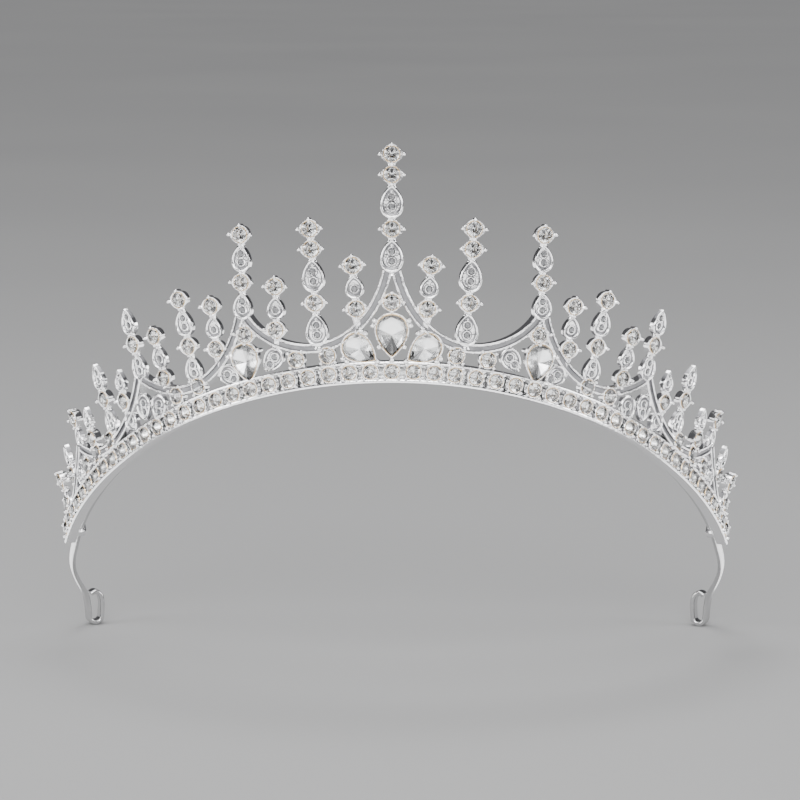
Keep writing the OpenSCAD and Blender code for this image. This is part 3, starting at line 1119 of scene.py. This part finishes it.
def make_big_stones():
    """Three pears that fan out from the middle of the band, and one under each shoulder peak."""
    fan = [(CENTRE_PEAR, 1, CENTRE_CLAWS)]
    fan += [(FLANK_PEAR, sign, FLANK_CLAWS) for side, sign in SIDES]
    shoulders = [(SHOULDER_PEAR, sign, SHOULDER_CLAWS) for side, sign in SIDES]
    for name, specs in (("centre_pear", fan), ("shoulder_pear", shoulders)):
        cups, stones = [], []
        for (a, z, turn, w, l), sign, claws_at in specs:
            place = on_band(sign * a, z, sign * turn)
            cups.append((pear_cup(w, l, claws_at), place))
            stones.append((pear_stone(w, l), place))
        set_out(name + "_cups", name + "_settings", cups)
        set_out(name + "_crystals", name + "_stones", stones, False)
        for master, place in cups + stones:
            bpy.data.objects.remove(master)


# ---- Studio ----


def pale_floor():
    """A pale grey matt floor, faintly mottled."""
    floor = added(bpy.ops.mesh.primitive_plane_add, size=16)
    floor.name = "studio_floor"
    paint = Paint("pale_floor")
    cloud = paint.noise(paint.place(), 3)
    colour = paint.blend(cloud, (0.31, 0.31, 0.315), (0.34, 0.34, 0.34))
    dress(floor, paint.surface(Base_Color=colour, Roughness=0.6 + cloud * 0.2))


def soft_light(name, place, size, brightness, aim=(0, -0.02, 0.06)):
    """A soft panel that the camera doesn't see, as bright all over as asked."""
    data = bpy.data.lights.new(name, "AREA")
    data.shape = "RECTANGLE"
    data.size, data.size_y = size
    data.energy = brightness * pi * size[0] * size[1]
    light = bpy.data.objects.new(name, data)
    bpy.context.scene.collection.objects.link(light)
    light.location = place
    light.rotation_euler = (Vector(aim) - Vector(place)).to_track_quat("-Z", "Y").to_euler()
    light.visible_camera = False


def studio():
    """Soft panels round the tiara, and cards that lie near the floor to light the upright faces."""
    soft_light("front_card", (0, -0.39, 0.015), (0.8, 0.58), 2.2, (0, -0.38, 1))
    soft_light("front_panel", (0, -1.15, 0.6), (0.8, 0.32), 14)
    soft_light("left_panel", (-0.85, -0.35, 0.32), (0.5, 0.4), 9)
    soft_light("right_panel", (0.85, -0.25, 0.3), (0.4, 0.35), 9)
    soft_light("high_panel", (0, -1.5, 1.35), (1.6, 0.9), 2.2)
    soft_light("overhead", (-0.1, 0.15, 1.1), (0.5, 0.35), 7)
    for side, sign in SIDES:
        soft_light(f"{side}_card", (sign * 0.285, 0.2, 0.002), (0.42, 0.5), 2.2, (sign * 0.285, 0.21, 1))
    data = bpy.data.lights.new("ceiling", "SUN")
    data.energy = 2.2
    data.angle = radians(60)
    bpy.context.scene.collection.objects.link(bpy.data.objects.new("ceiling", data))
    world = bpy.data.worlds.new("studio")
    world.use_nodes = True
    world.node_tree.nodes["Background"].inputs["Color"].default_value = (0.09, 0.09, 0.095, 1)
    bpy.context.scene.world = world


def camera():
    """Long lens at the front, a little above the tiara."""
    data = bpy.data.cameras.new("camera")
    data.lens = 162
    data.sensor_width = 36
    data.shift_x = 0.00375
    data.clip_end = 50
    view = bpy.data.objects.new("camera", data)
    bpy.context.scene.collection.objects.link(view)
    turn, lift, away = radians(0.8), radians(8), 0.8
    target = Vector((0, 0, 0.051))
    view.location = target + away * Vector((cos(lift) * sin(turn), -cos(lift) * cos(turn), sin(lift)))
    view.rotation_euler = (target - view.location).to_track_quat("-Z", "Y").to_euler()
    bpy.context.scene.camera = view


camera()
studio()
pale_floor()
make_headband()
make_clips()
make_rim_and_rail()
make_arches()
make_rows()
make_big_stones()
make_spires()
